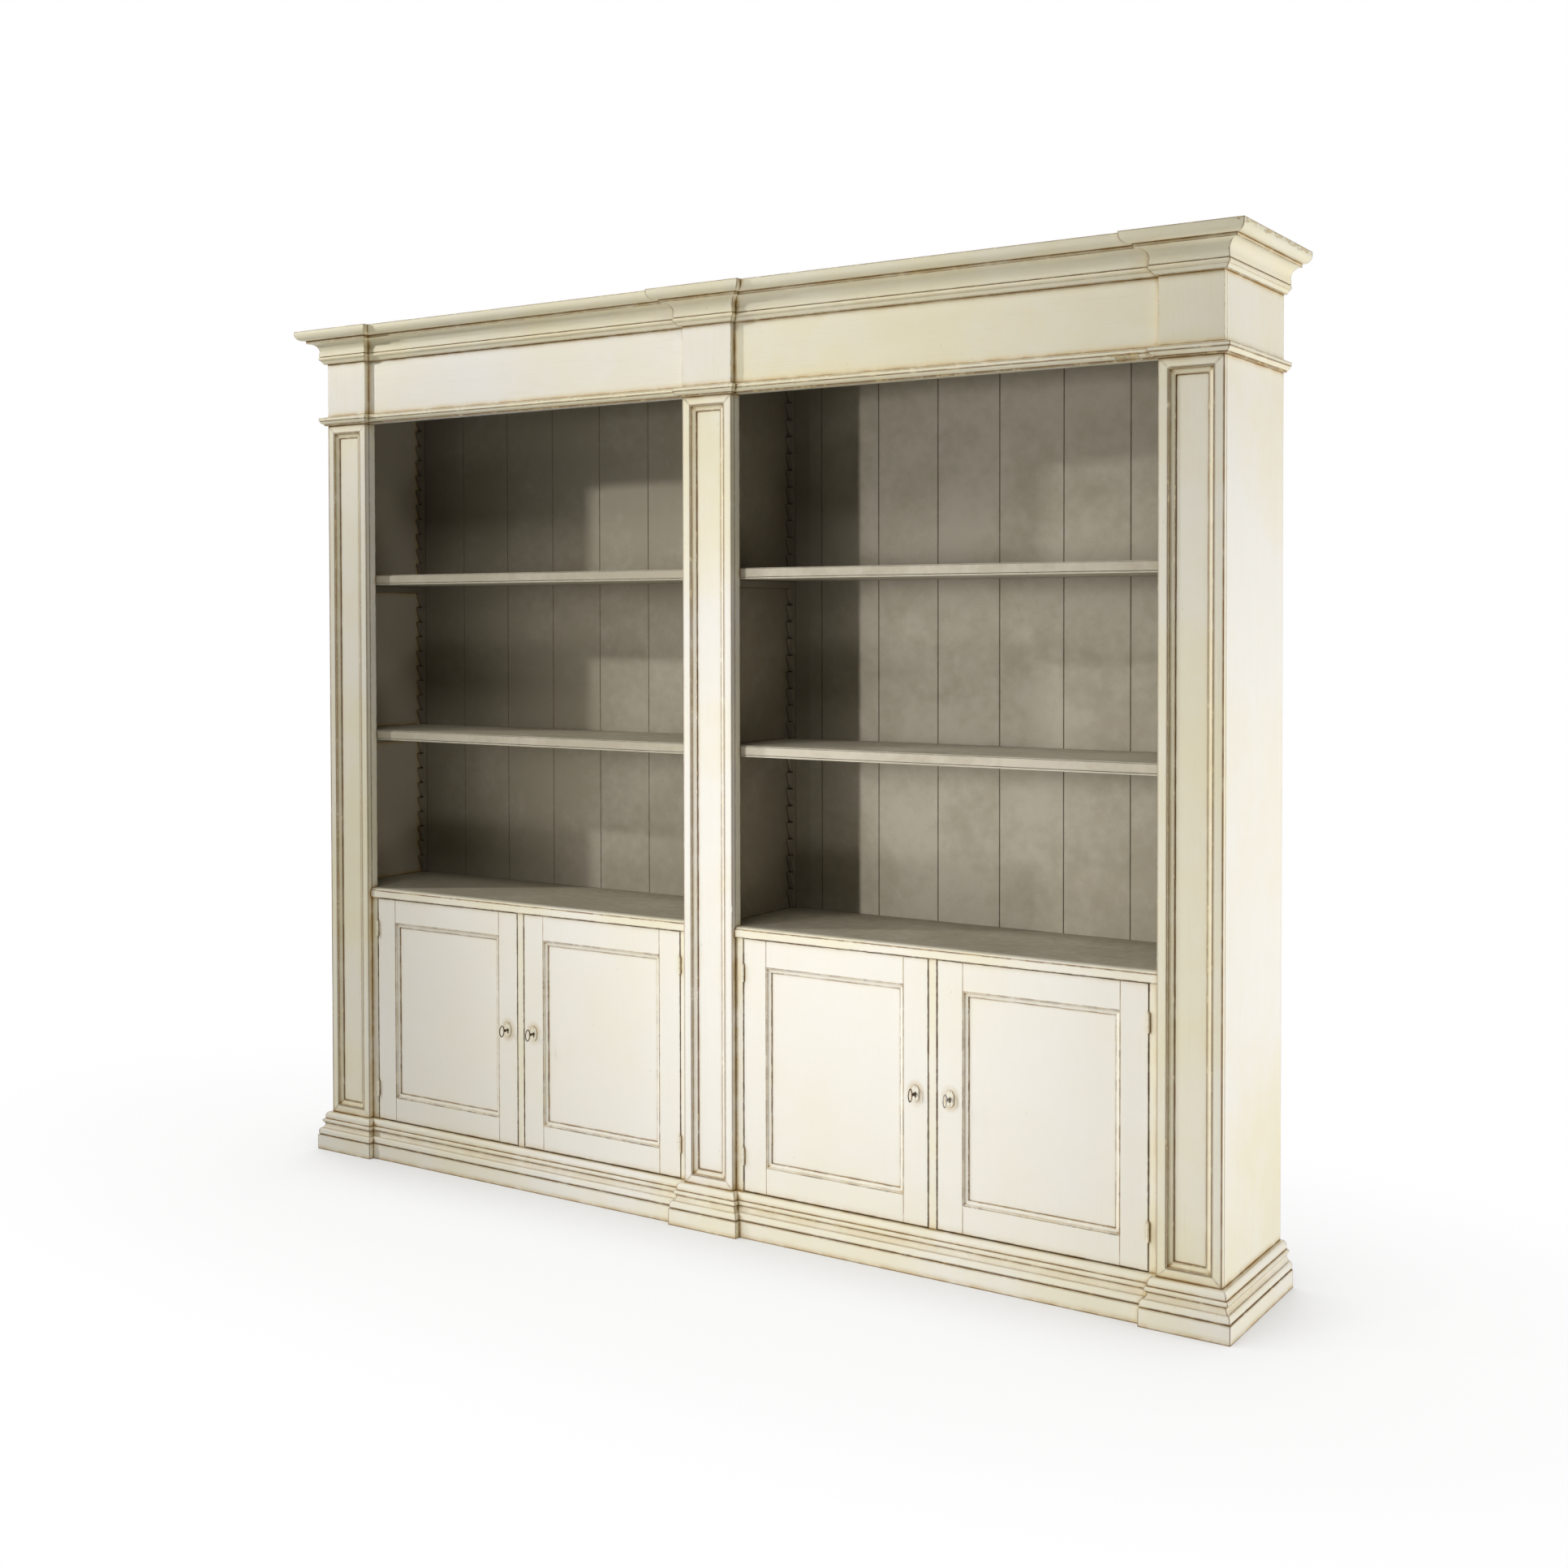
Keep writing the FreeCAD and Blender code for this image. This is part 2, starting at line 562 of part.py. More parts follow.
def frieze_and_mouldings():
    depth = ("bay_face", "post_back")
    board_piece = board("frieze", ("bay_in", "bay_out"), depth, ("neck_bottom", "frieze_top"))
    keep(both_sides("friezes", board_piece), "frieze_boards")

    plinth = (
        ("0", "0"),
        ("base_reach", "0"),
        ("base_reach", "plinth_high - plinth_ease"),
        ("base_reach - plinth_ease", "plinth_high", "ccw", "plinth_ease"),
        ("0", "plinth_high"),
    )
    keep(round_moulding("plinth", plinth, "0"), "plinth_boards")

    top = "base_high - plinth_high"
    base = (
        ("0", "0"),
        ("base_foot", "0"),
        ("base_foot", "base_fillet_low"),
        ("base_fillet", "base_fillet_low"),
        ("base_fillet", "base_fillet_high"),
        ("base_ovolo_out", "base_ovolo_top", "ccw", "(base_ovolo_top - base_fillet_high) * 1.25"),
        ("base_cove_out", "base_ovolo_top"),
        ("base_cove_in", "base_cove_top", "cw", "base_cove_top - base_ovolo_top"),
        ("base_bead_in", "base_cove_top"),
        ("base_bead_in", "base_bead_low"),
        ("base_bead_in", "base_bead_low + base_bead", "ccw", "base_bead * 0.52"),
        ("base_neck", "base_bead_low + base_bead"),
        ("base_neck", "base_neck_high"),
        ("base_ledge", top, "ccw", f"{top} - base_neck_high"),
        ("0", top),
    )
    keep(round_moulding("base", base, "plinth_high"), "base_moulding")

    necking = (
        ("0", "0"),
        ("neck_toe", "0"),
        ("neck_toe", "neck_toe_high"),
        ("neck_ovolo_out", "neck_ovolo_top", "ccw", "(neck_ovolo_top - neck_toe_high) * 1.2"),
        ("neck_reach", "neck_ovolo_top"),
        ("neck_reach", "neck_fillet_top"),
        ("0", "neck_high"),
    )
    keep(round_moulding("necking", necking, "neck_bottom"), "necking_moulding")

    bead_top = "cornice_bead_low + cornice_bead"
    cornice = (
        ("-cornice_seat", "0"),
        ("cornice_toe", "0"),
        ("cornice_bead_in", "cornice_bead_low"),
        ("cornice_bead_in", bead_top, "ccw", "cornice_bead * 0.52"),
        ("cornice_cove_in", bead_top),
        ("cornice_cove_in", "cornice_cove_low"),
        ("cornice_cove_out", "cornice_cove_top", "cw", "cornice_cove_bend"),
        ("cornice_shelf", "cornice_cove_top"),
        ("cornice_shelf", "cornice_torus_low"),
        ("cornice_reach - cornice_torus", "cornice_torus_low"),
        ("cornice_reach", "cornice_torus_low + cornice_torus", "ccw", "cornice_torus"),
        ("cornice_reach", "cornice_high"),
        ("-cornice_seat", "cornice_high"),
    )
    keep(round_moulding("cornice", cornice, "frieze_top"), "cornice_moulding")


# ---------------------------------------------------------------- racks, cleats and shelves
def axis_plane(body, role):
    """One of a body's own origin planes."""
    return next(plane for plane in body.Origin.OriginFeatures if plane.Role == role)


def pad(body, label, points, length):
    """A pad of a closed outline in the body's YZ plane."""
    sketch = outline(f"{label}_outline", points, SECTION)
    body.addObject(sketch)
    sketch.AttachmentSupport = (axis_plane(body, "YZ_Plane"), [""])
    sketch.MapMode = "FlatFace"
    feature = body.newObject("PartDesign::Pad", label)
    feature.Profile = sketch
    bind(feature, Length=length)
    return sketch, feature


def rack():
    """Saw-toothed strip: one tooth repeated up the strip, its ledges facing up."""
    body = doc.addObject("PartDesign::Body", "rack")
    strip = (
        ("tooth_line", "waist_level"),
        ("rear_face", "waist_level"),
        ("rear_face", "ceiling"),
        ("tooth_line", "ceiling"),
    )
    pad(body, "rack_strip", strip, "rack_thick")
    ledge = "waist_level + rack_first"
    tooth = (
        ("tooth_line", ledge),
        ("tooth_line - rack_tooth", ledge),
        ("tooth_line - rack_tooth", f"{ledge} - rack_nose"),
        ("tooth_line", f"{ledge} - rack_pitch"),
    )
    sketch, feature = pad(body, "rack_tooth_pad", tooth, "rack_thick")
    pattern = body.newObject("PartDesign::LinearPattern", "rack_teeth")
    pattern.Originals = [feature]
    pattern.Direction = (sketch, ["V_Axis"])
    teeth = "floor((ceiling - waist_level - rack_first) / rack_pitch)"
    bind(pattern, Length=f"{teeth} * rack_pitch", Occurrences=f"{teeth} + 1")
    body.Tip = pattern
    doc.recompute()
    return put(body, x="wall_in")


def four_corners(label, piece):
    """A piece beside the back wall and divider, with its twins at the other corners of the bay."""
    pair = group(f"{label}_pair", [piece, mirrored(f"{label}_fore", piece, "depth_mid", ALONG_Y)])
    return group(label, [pair, mirrored(f"{label}_far", pair, "wall_mid")])


def shelves():
    racks = four_corners("racks_right", rack())
    keep(both_sides("racks", racks), "shelf_racks")

    cleats = []
    for name, count in (("lower", "lower_ledge_count"), ("upper", "upper_ledge_count")):
        ledge = f"(waist_level + rack_first + {count} * rack_pitch)"
        far = "(tooth_line - cleat_play)"
        near = "(post_back + rack_base + cleat_play)"
        points = (
            (near, ledge),
            (far, ledge),
            (f"{far} - cleat_slant", f"{ledge} + cleat_high"),
            (f"{near} + cleat_slant", f"{ledge} + cleat_high"),
        )
        sketch = outline(f"{name}_cleat_outline", points, SECTION, x="wall_in")
        cleat = extruded(f"{name}_cleat", sketch, "rack_thick")
        cleats += [cleat, mirrored(f"{name}_cleat_far", cleat, "wall_mid")]
        shelf(name, f"{ledge} + cleat_high")
    keep(both_sides("cleats", *cleats), "shelf_cleats")


def shelf(name, under):
    """A shelf board notched round the racks, and its moulded nosing behind the posts."""
    left, right = "wall_in + shelf_play", "wall_out - shelf_play"
    rack_in, rack_out = "(wall_in + rack_thick + shelf_play)", "(wall_out - rack_thick - shelf_play)"
    face = "post_back + shelf_set"
    fore, rear = f"{face} + nosing_deep", "rear_face - shelf_play"
    level = (under, f"{under} + shelf_thick")
    blank = board(f"{name}_shelf_blank", (left, right), (fore, rear), level)
    reach = "rack_base + rack_tooth + shelf_play"
    notches = []
    for side, x in (("in", (left, rack_in)), ("out", (rack_out, right))):
        notches.append(board(f"{name}_{side}_fore_notch", x, ("post_back", f"post_back + {reach}"), level))
        notches.append(board(f"{name}_{side}_rear_notch", x, (f"rear_face - ({reach})", rear), level))
    piece = cut(f"right_{name}_shelf_board", blank, *notches)

    points = (
        (face, under),
        (face, f"{under} + nosing_bead"),
        (f"{face} + nosing_quirk", f"{under} + nosing_bead"),
        (f"{face} + nosing_quirk", f"{under} + nosing_bead + nosing_quirk"),
        (face, f"{under} + nosing_bead + nosing_quirk"),
        (face, f"{under} + shelf_thick - nosing_step"),
        (f"{face} + nosing_step", f"{under} + shelf_thick - nosing_step"),
        (f"{face} + nosing_step", f"{under} + shelf_thick"),
        (fore, f"{under} + shelf_thick"),
        (fore, under),
    )
    sketch = outline(f"{name}_nosing_profile", points, SECTION, x=rack_in)
    nosing = extruded(f"right_{name}_nosing", sketch, f"{rack_out} - {rack_in}")
    for part, word in ((piece, "shelf"), (nosing, "shelf_nosing")):
        keep(part, f"right_{name}_{word}")
        keep(mirrored(f"left_{name}_{word}_mirror", part), f"left_{name}_{word}")


# ---------------------------------------------------------------- hinges
def hinge(name, centre):
    """Butt hinge at one height: frame leaf, door leaf, pin, and the beds of the two leaves."""
    low = f"({centre} - hinge_high / 2)"
    high = f"({centre} + hinge_high / 2)"
    depth = ("leaf_front", "leaf_front + leaf_deep")
    stile_edge, door_edge = "(bay_in + face_stile)", "door_left"
    leaves = (
        ("frame", f"{stile_edge} + leaf_proud - leaf_thick", f"{stile_edge} + leaf_proud"),
        ("door", f"{door_edge} - leaf_proud", f"{door_edge} - leaf_proud + leaf_thick"),
    )
    middle = (f"{low} + knuckle_high + hinge_play", f"{high} - knuckle_high - hinge_play")
    outer = ((low, f"{low} + knuckle_high"), (f"{high} - knuckle_high", high))
    knuckles = {"frame": outer, "door": (middle,)}
    beds, made = {}, {}
    for owner, left, right in leaves:
        plate = board(f"{name}_{owner}_plate", (left, right), depth, (low, high))
        parts = [plate]
        for count, (foot, head) in enumerate(knuckles[owner]):
            tag = f"{name}_{owner}_{count}"
            parts.append(board(f"{tag}_web", (left, right), ("hinge_y", "leaf_front"), (foot, head)))
            length = f"({head}) - ({foot})"
            parts.append(rod(f"{tag}_knuckle", "hinge_x", "hinge_y", foot, "knuckle_radius", length))
        bore_radius = "hinge_pin_radius + pin_play"
        bore = rod(f"{name}_{owner}_bore", "hinge_x", "hinge_y", low, bore_radius, "hinge_high")
        made[owner] = cut(f"{name}_{owner}_leaf", joined(f"{name}_{owner}_blank", parts), bore)
        beds[owner] = plate
    shank = rod(f"{name}_shank", "hinge_x", "hinge_y", low, "hinge_pin_radius", "hinge_high")
    cap = rod(f"{name}_cap", "hinge_x", "hinge_y", high, "pin_cap_radius", "pin_cap_high")
    pin = joined(f"{name}_pin", [shank, cap])
    return made["frame"], made["door"], pin, beds["frame"], beds["door"]


# ---------------------------------------------------------------- doors
def keyhole(label, depth, play):
    """A round hole over a slot, from one depth to another, with room round the key's shank and bit."""
    length = f"({depth[1]}) - ({depth[0]})"
    hole = rod(f"{label}_round", "lock_x", depth[0], "lock_level", f"key_radius + {play}", length, ALONG_Y)
    half = f"key_bit_thick / 2 + {play}"
    level = (f"lock_level - key_bit_drop - {play}", "lock_level")
    slot = board(f"{label}_slot", (f"lock_x - ({half})", f"lock_x + {half}"), depth, level)
    return joined(label, [hole, slot])


def lock():
    """Lock case let into the door's back, its bolt, and the painted escutcheon with two tacks."""
    level = ("lock_level - case_below", "lock_level + case_above")
    wide = ("door_right - case_long", "door_right")
    deep = ("lock_front", "door_back")
    body = board("case_blank", wide, deep, level)
    inner = [(f"{low} + case_wall", f"{high} - case_wall") for low, high in (wide, deep, level)]
    cavity = board("case_cavity", *inner)
    bolt_level = ("bolt_low - bolt_play", "bolt_low + bolt_high + bolt_play")
    bolt_deep = ("bolt_mid - bolt_thick / 2 - bolt_play", "bolt_mid + bolt_thick / 2 + bolt_play")
    slot = board("bolt_slot", ("door_right - case_wall", "door_right"), bolt_deep, bolt_level)
    entry = keyhole("case_keyhole", ("lock_front", "lock_front + case_wall"), "key_play")
    case = cut("lock_case", body, cavity, slot, entry)

    bolt = board(
        "bolt",
        ("door_right - bolt_long", "door_right"),
        ("bolt_mid - bolt_thick / 2", "bolt_mid + bolt_thick / 2"),
        ("bolt_low", "bolt_low + bolt_high"),
    )

    oval = doc.addObject("Part::Ellipse", "escutcheon_outline")
    oval.Placement.Rotation = FreeCAD.Rotation(ALONG_Z, ALONG_X, -ALONG_Y, "XYZ")
    bind(oval, MajorRadius="plate_tall / 2", MinorRadius="plate_wide / 2")
    put(oval, "lock_x", "bay_face", "lock_level")
    plate = doc.addObject("Part::Extrusion", "escutcheon_blank")
    plate.Base = oval
    plate.DirMode = "Custom"
    plate.Dir = -ALONG_Y
    plate.Solid = True
    bind(plate, LengthFwd="plate_thick")
    hole = keyhole("escutcheon_keyhole", ("bay_face - plate_thick", "bay_face"), "keyhole_room")
    escutcheon = cut("escutcheon", plate, hole)
    away = "plate_tall / 2 - tack_inset"
    head = "bay_face - plate_thick - tack_high"
    tacks = []
    for name, sign in (("low", "-"), ("high", "+")):
        level = f"lock_level {sign} ({away})"
        tacks.append(rod(f"tack_{name}", "lock_x", head, level, "tack_radius", "tack_high", ALONG_Y))
    return body, group("lock", [case, escutcheon, *tacks]), bolt


def key():
    """Key left in the lock: oval bow, collar, shank and bit."""
    bow_centre = "bay_face - bow_out"
    path = doc.addObject("Part::Ellipse", "bow_line")
    path.Placement.Rotation = FreeCAD.Rotation(ALONG_Z, -ALONG_Y, ALONG_X, "XYZ")
    bind(path, MajorRadius="bow_tall", MinorRadius="bow_wide")
    put(path, "lock_x", bow_centre, "lock_level")
    wire = doc.addObject("Part::Circle", "bow_section")
    wire.Placement.Rotation = FreeCAD.Rotation(ALONG_Z, ALONG_Y)
    bind(wire, Radius="bow_wire")
    put(wire, "lock_x", bow_centre, "lock_level + bow_tall")
    bow = doc.addObject("Part::Sweep", "key_bow")
    bow.Sections = [wire]
    bow.Spine = (path, [])
    bow.Solid = True

    start = f"{bow_centre} + bow_wide + bow_wire / 3"
    end = "lock_back - key_play"
    shank = rod("key_shank", "lock_x", start, "lock_level", "key_radius", f"({end}) - ({start})", ALONG_Y)
    collar_size = ("key_collar_radius", "key_collar_long")
    collar = rod("key_collar", "lock_x", f"{start} + key_collar_long", "lock_level", *collar_size, ALONG_Y)
    half = "key_bit_thick / 2"
    bit = board(
        "key_bit",
        (f"lock_x - {half}", f"lock_x + {half}"),
        ("bolt_mid - key_bit_deep / 2", "bolt_mid + key_bit_deep / 2"),
        ("lock_level - key_bit_drop", "lock_level"),
    )
    return joined("key", [bow, shank, collar, bit])


def doors():
    """One door with its fittings, then its mirror images for the other three openings."""
    sets = [
        hinge("low_hinge", "(door_low + hinge_inset)"),
        hinge("high_hinge", "(door_high - hinge_inset)"),
    ]
    frame_leaves, door_leaves, pins, frame_beds, door_beds = zip(*sets)
    lock_bed, lock_piece, bolt = lock()

    thick = ("bay_face", "door_back")
    panel = board(
        "door_panel",
        ("open_left - panel_tongue", "open_right + panel_tongue"),
        ("panel_face", "panel_face + panel_thick"),
        ("open_low - panel_tongue", "open_high + panel_tongue"),
    )
    level = ("door_low", "door_high")
    hinge_stile = board("hinge_stile_blank", ("door_left", "open_left"), thick, level)
    hinge_stile = cut("hinge_stile", hinge_stile, panel, *door_beds)
    lock_stile = board("lock_stile_blank", ("open_right", "door_right"), thick, level)
    hole = keyhole("door_keyhole", ("bay_face", "lock_front"), "keyhole_room")
    lock_stile = cut("lock_stile", lock_stile, panel, lock_bed, hole)
    between = ("open_left", "open_right")
    rails = [
        cut("low_rail", board("low_rail_blank", between, thick, ("door_low", "open_low")), panel),
        cut("high_rail", board("high_rail_blank", between, thick, ("open_high", "door_high")), panel),
    ]
    ring = panel_ring("door_ring", between, ("open_low", "open_high"), "bay_face", "panel_sink", "mould_wide")
    pieces = {
        "door_frame": group("door_boards", [hinge_stile, lock_stile, *rails]),
        "door_panel": panel,
        "door_moulding": ring,
        "door_hinge_leaves": group("door_leaves", list(door_leaves)),
        "door_lock": lock_piece,
        "door_bolt": bolt,
        "door_key": key(),
    }
    for word, piece in pieces.items():
        far = mirrored(f"right_outer_{word}_mirror", piece, "bay_mid")
        keep(piece, f"right_inner_{word}")
        keep(far, f"right_outer_{word}")
        keep(mirrored(f"left_inner_{word}_mirror", piece), f"left_inner_{word}")
        keep(mirrored(f"left_outer_{word}_mirror", far), f"left_outer_{word}")

    near = group("frame_hinge_near", [*frame_leaves, *pins])
    bay = group("frame_hinge_bay", [near, mirrored("frame_hinge_across", near, "bay_mid")])
    keep(both_sides("frame_hinge_all", bay), "frame_hinges")
    return frame_beds


# ---------------------------------------------------------------- build, check and write
def check(piece):
    """Stop at a sub-part that failed, is empty or is not valid."""
    if {"Invalid", "Error"} & set(piece.State):
        raise RuntimeError(f"{piece.Label}: {piece.State}")
    if hasattr(piece, "Shape") and (piece.Shape.isNull() or not piece.Shape.isValid()):
        raise RuntimeError(f"{piece.Label}: its shape is null or not valid")


carcass()
back_boards()
pilasters()
face_frame(doors())
waist_moulding()
frieze_and_mouldings()
shelves()
doc.recompute()

for item in doc.Objects:
    check(item)

os.makedirs("parts", exist_ok=True)
for node in NODES:
    node.Shape.exportStep(f"parts/{node.Label}.step")
    print(f"{node.Label}: {len(node.Shape.Solids)} solids, {node.Shape.Volume / 1e6:.3f} dm3")
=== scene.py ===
"""Looks of the painted bookcase: antique cream outside, grey-brown inside, glaze in recesses."""
import math

import bpy
from mathutils import Matrix, Vector

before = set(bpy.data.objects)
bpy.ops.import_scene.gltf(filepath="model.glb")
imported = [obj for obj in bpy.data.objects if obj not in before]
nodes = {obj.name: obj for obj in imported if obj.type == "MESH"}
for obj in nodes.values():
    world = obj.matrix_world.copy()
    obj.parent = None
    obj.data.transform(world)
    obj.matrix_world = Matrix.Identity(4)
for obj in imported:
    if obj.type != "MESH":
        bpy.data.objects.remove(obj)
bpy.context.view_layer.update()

# ---------------------------------------------------------------- places, in metres
FRONT = -0.165                       # front of the pilasters
BAY_FACE = -0.149                    # front of the doors, face frame and frieze
POST_BACK = -0.126                   # back of the posts and face frame
PLAIN_BACK = 0.219                   # back of the plain panels behind the cupboards
WALL_SIDE = 0.235                    # back edges of the sides and mouldings
CARCASS_TOP = 2.404
TOP = 2.5
CORNICE_END = 1.5                    # tip of the cornice at the side
CORNICE_INSIDE = (1.412, -0.147)     # faces of the cornice towards its open middle: side, front
BODY = 1.430                         # outer face of the sides
WALL_OUT = 1.410                     # inner face of the sides
BAY_OUT, BAY_IN = 1.272, 0.079       # the two ends of an open bay
BAY_MID = 0.6755
BOARD_WIDE = 0.185                   # width of a back board
PILASTER_MID = (BODY + BAY_OUT) / 2
PILASTER_FOOT, PILASTER_HEAD = 0.112, 2.217
DOOR_RAIL_ENDS = (0.084, 0.4995)     # distances of the rails' ends from the middle of the bay
LOCKS = (0.6265, 0.7245)             # distances of the escutcheons from the middle of the bookcase
LOCK_HEIGHT = 0.444
DIRT_REACH = 0.032                   # how far hands have darkened the paint round an escutcheon
WAIST_LIP = 0.013                    # depth of the cream lip in front of the waist moulding's top
FLAKED_NECKING = (1.2, 2.222)        # the necking's flaked spot: distance from the middle, height
SKIN = 0.0005                        # how far a mask reaches past the face that it is for

# ---------------------------------------------------------------- colours, linear
CREAM = (0.87, 0.85, 0.795)
CREAM_AGED = (0.84, 0.785, 0.575)
BRUSHED = (0.64, 0.56, 0.36)
TAN = (0.54, 0.39, 0.15)
GLAZE = (0.27, 0.135, 0.03)
GLAZE_DEEP = (0.15, 0.072, 0.022)
TAUPE = (0.58, 0.535, 0.44)
# painted shade: a darker grey-brown for the shelves, tops, floors and backs of the inside
TAUPE_SHADED_TOPS = (0.48, 0.442, 0.358)
TAUPE_BOARDS = (0.60, 0.555, 0.455)
TAUPE_NOSING = (0.60, 0.55, 0.45)
TAUPE_PALE = (0.60, 0.56, 0.46)
TAUPE_GLAZE = (0.085, 0.058, 0.032)
# painted shade: the dark grey-brown mixed into the inside's paint in corners, towards the top and
# in the left bay
TAUPE_SHADE = (0.20, 0.172, 0.125)
AGED_SHARE = (0.76, 0.75, 0.70)      # what aged grey-brown paint keeps of each channel
RAW_WOOD = (0.47, 0.335, 0.205)
RAW_WOOD_DARK = (0.27, 0.17, 0.09)
RAW_WOOD_GREY = (0.30, 0.255, 0.20)
GAP = (0.03, 0.02, 0.012)
IRON = (0.36, 0.35, 0.33)
IRON_DARK = (0.14, 0.12, 0.105)
GRIME = (0.02, 0.015, 0.01)
FLOOR_PALE = (0.78, 0.78, 0.775)
FLOOR_GREY = (0.74, 0.74, 0.735)
WHITE = (1.0, 1.0, 1.0)
WORLD_LIGHT = (1.0, 0.99, 0.97)
LAMP_LIGHT = (1.0, 0.985, 0.96)

# grain: how the noise is stretched along the wood
ALONG_X, ALONG_Y, ALONG_Z = (0.12, 3, 3), (3, 0.12, 3), (3, 3, 0.12)


class Shader:
    """A node material built step by step."""

    def __init__(self, name, roughness=0.5):
        self.material = bpy.data.materials.new(name)
        self.material.use_nodes = True
        self.tree = self.material.node_tree
        self.tree.nodes.clear()
        self.out = self.new("ShaderNodeOutputMaterial")
        self.bsdf = self.new("ShaderNodeBsdfPrincipled")
        self.tree.links.new(self.bsdf.outputs[0], self.out.inputs["Surface"])
        self.bsdf.inputs["Roughness"].default_value = roughness
        self.place = self.new("ShaderNodeTexCoord").outputs["Object"]

    def new(self, kind, **values):
        node = self.tree.nodes.new(kind)
        for key, value in values.items():
            setattr(node, key, value)
        return node

    def put(self, socket, value):
        """Link a socket or set a constant."""
        if isinstance(value, bpy.types.NodeSocket):
            self.tree.links.new(value, socket)
        elif isinstance(value, tuple) and len(value) == 3 and socket.type == "RGBA":
            socket.default_value = (*value, 1)
        else:
            socket.default_value = value

    def math(self, kind, a, b=0.0, clamp=False):
        node = self.new("ShaderNodeMath", operation=kind, use_clamp=clamp)
        for socket, value in zip(node.inputs, (a, b)):
            self.put(socket, value)
        return node.outputs[0]

    def plus(self, a, b):
        return self.math("ADD", a, b)

    def minus(self, a, b):
        return self.math("SUBTRACT", a, b)

    def size(self, value):
        return self.math("ABSOLUTE", value)

    def above(self, value, limit):
        return self.math("GREATER_THAN", value, limit)

    def below(self, value, limit):
        return self.math("LESS_THAN", value, limit)

    def times(self, *values):
        product = values[0]
        for value in values[1:]:
            product = self.math("MULTIPLY", product, value)
        return product

    def most(self, *values):
        top = values[0]
        for value in values[1:]:
            top = self.math("MAXIMUM", top, value)
        return top

    def ramp(self, value, low, high, to_low=0.0, to_high=1.0):
        """Smooth rise from one value to another; it falls where low lies above high."""
        node = self.new("ShaderNodeMapRange", interpolation_type="SMOOTHSTEP")
        for socket, item in zip(node.inputs, (value, low, high, to_low, to_high)):
            self.put(socket, item)
        return node.outputs[0]

    def mix(self, share, a, b):
        node = self.new("ShaderNodeMix", data_type="RGBA")
        self.put(node.inputs[0], share)
        self.put(node.inputs[6], a)
        self.put(node.inputs[7], b)
        return node.outputs[2]

    def axes(self):
        """Place across the front, in depth and in height."""
        node = self.new("ShaderNodeSeparateXYZ")
        self.put(node.inputs[0], self.place)
        return node.outputs

    def across(self):
        return self.axes()[0]

    def width(self):
        """Distance from the middle of the bookcase."""
        return self.size(self.axes()[0])

    def depth(self):
        return self.axes()[1]

    def height(self):
        return self.axes()[2]

    def noise(self, scale, stretch=(1, 1, 1), detail=4.0, rough=0.55, shift=0.0):
        mapping = self.new("ShaderNodeMapping")
        mapping.inputs["Scale"].default_value = stretch
        mapping.inputs["Location"].default_value = (shift, shift * 0.7, shift * 1.3)
        self.put(mapping.inputs[0], self.place)
        node = self.new("ShaderNodeTexNoise")
        self.put(node.inputs["Vector"], mapping.outputs[0])
        node.inputs["Scale"].default_value = scale
        node.inputs["Detail"].default_value = detail
        node.inputs["Roughness"].default_value = rough
        return node.outputs["Fac"]

    def hollow(self, reach, samples=8):
        """Share of nearby open space that is closed off: 0 in the open, towards 1 in a corner."""
        node = self.new("ShaderNodeAmbientOcclusion", samples=samples)
        node.inputs["Distance"].default_value = reach
        return self.math("SUBTRACT", 1.0, node.outputs["AO"])

    def specks(self, scale, size, keep):
        """Fine dots, of which only a share is kept."""
        node = self.new("ShaderNodeTexVoronoi", feature="F1")
        self.put(node.inputs["Vector"], self.place)
        node.inputs["Scale"].default_value = scale
        dot = self.ramp(node.outputs["Distance"], size, size * 0.45)
        colour = self.new("ShaderNodeSeparateColor")
        self.put(colour.inputs[0], node.outputs["Color"])
        return self.times(dot, self.math("GREATER_THAN", colour.outputs[0], 1 - keep))

    def bump(self, height, strength, distance, base=None):
        node = self.new("ShaderNodeBump")
        node.inputs["Strength"].default_value = strength
        node.inputs["Distance"].default_value = distance
        self.put(node.inputs["Height"], height)
        if base is not None:
            self.put(node.inputs["Normal"], base)
        return node.outputs[0]

    def done(self, colour, rough=None, normal=None):
        self.put(self.bsdf.inputs["Base Color"], colour)
        if rough is not None:
            self.put(self.bsdf.inputs["Roughness"], rough)
        if normal is not None:
            self.put(self.bsdf.inputs["Normal"], normal)
        return self.material


def line(s, distance, half_width=0.0005):
    """1 where a distance is nearly nothing: the hairline of a joint."""
    return s.ramp(s.size(distance), half_width * 1.8, half_width * 0.6)


def rounded(s, radius):
    """Normal that is softly rounded over an arris."""
    bevel = s.new("ShaderNodeBevel", samples=4)
    bevel.inputs["Radius"].default_value = radius
    return bevel.outputs[0]


def arris(s, reach):
    """How far the surface turns within reach: 0 on a flat face, towards 0.3 on a square arris."""
    geometry = s.new("ShaderNodeNewGeometry")
    dot = s.new("ShaderNodeVectorMath", operation="DOT_PRODUCT")
    s.put(dot.inputs[0], rounded(s, reach))
    s.put(dot.inputs[1], geometry.outputs["Normal"])
    return s.minus(1.0, dot.outputs["Value"])


# ---------------------------------------------------------------- masks: where a finish changes
def left_half(s):
    """Everything up to the middle pilaster, seen from the front."""
    return s.below(s.across(), BAY_IN + 0.002)


def middle(s):
    """The middle pilaster below eye level, where its paint is whitened as painted light."""
    return s.times(s.below(s.width(), BAY_IN + 0.002), s.ramp(s.height(), 2.1, 1.4))


def side_middle(s):
    """Middle height of the sides, where their paint is whitened as painted light."""
    return s.times(s.ramp(s.height(), 0.25, 0.8), s.ramp(s.height(), 2.3, 1.7))


def inside_sides(s):
    """Inner faces of the outer panels."""
    return s.below(s.width(), WALL_OUT + SKIN)


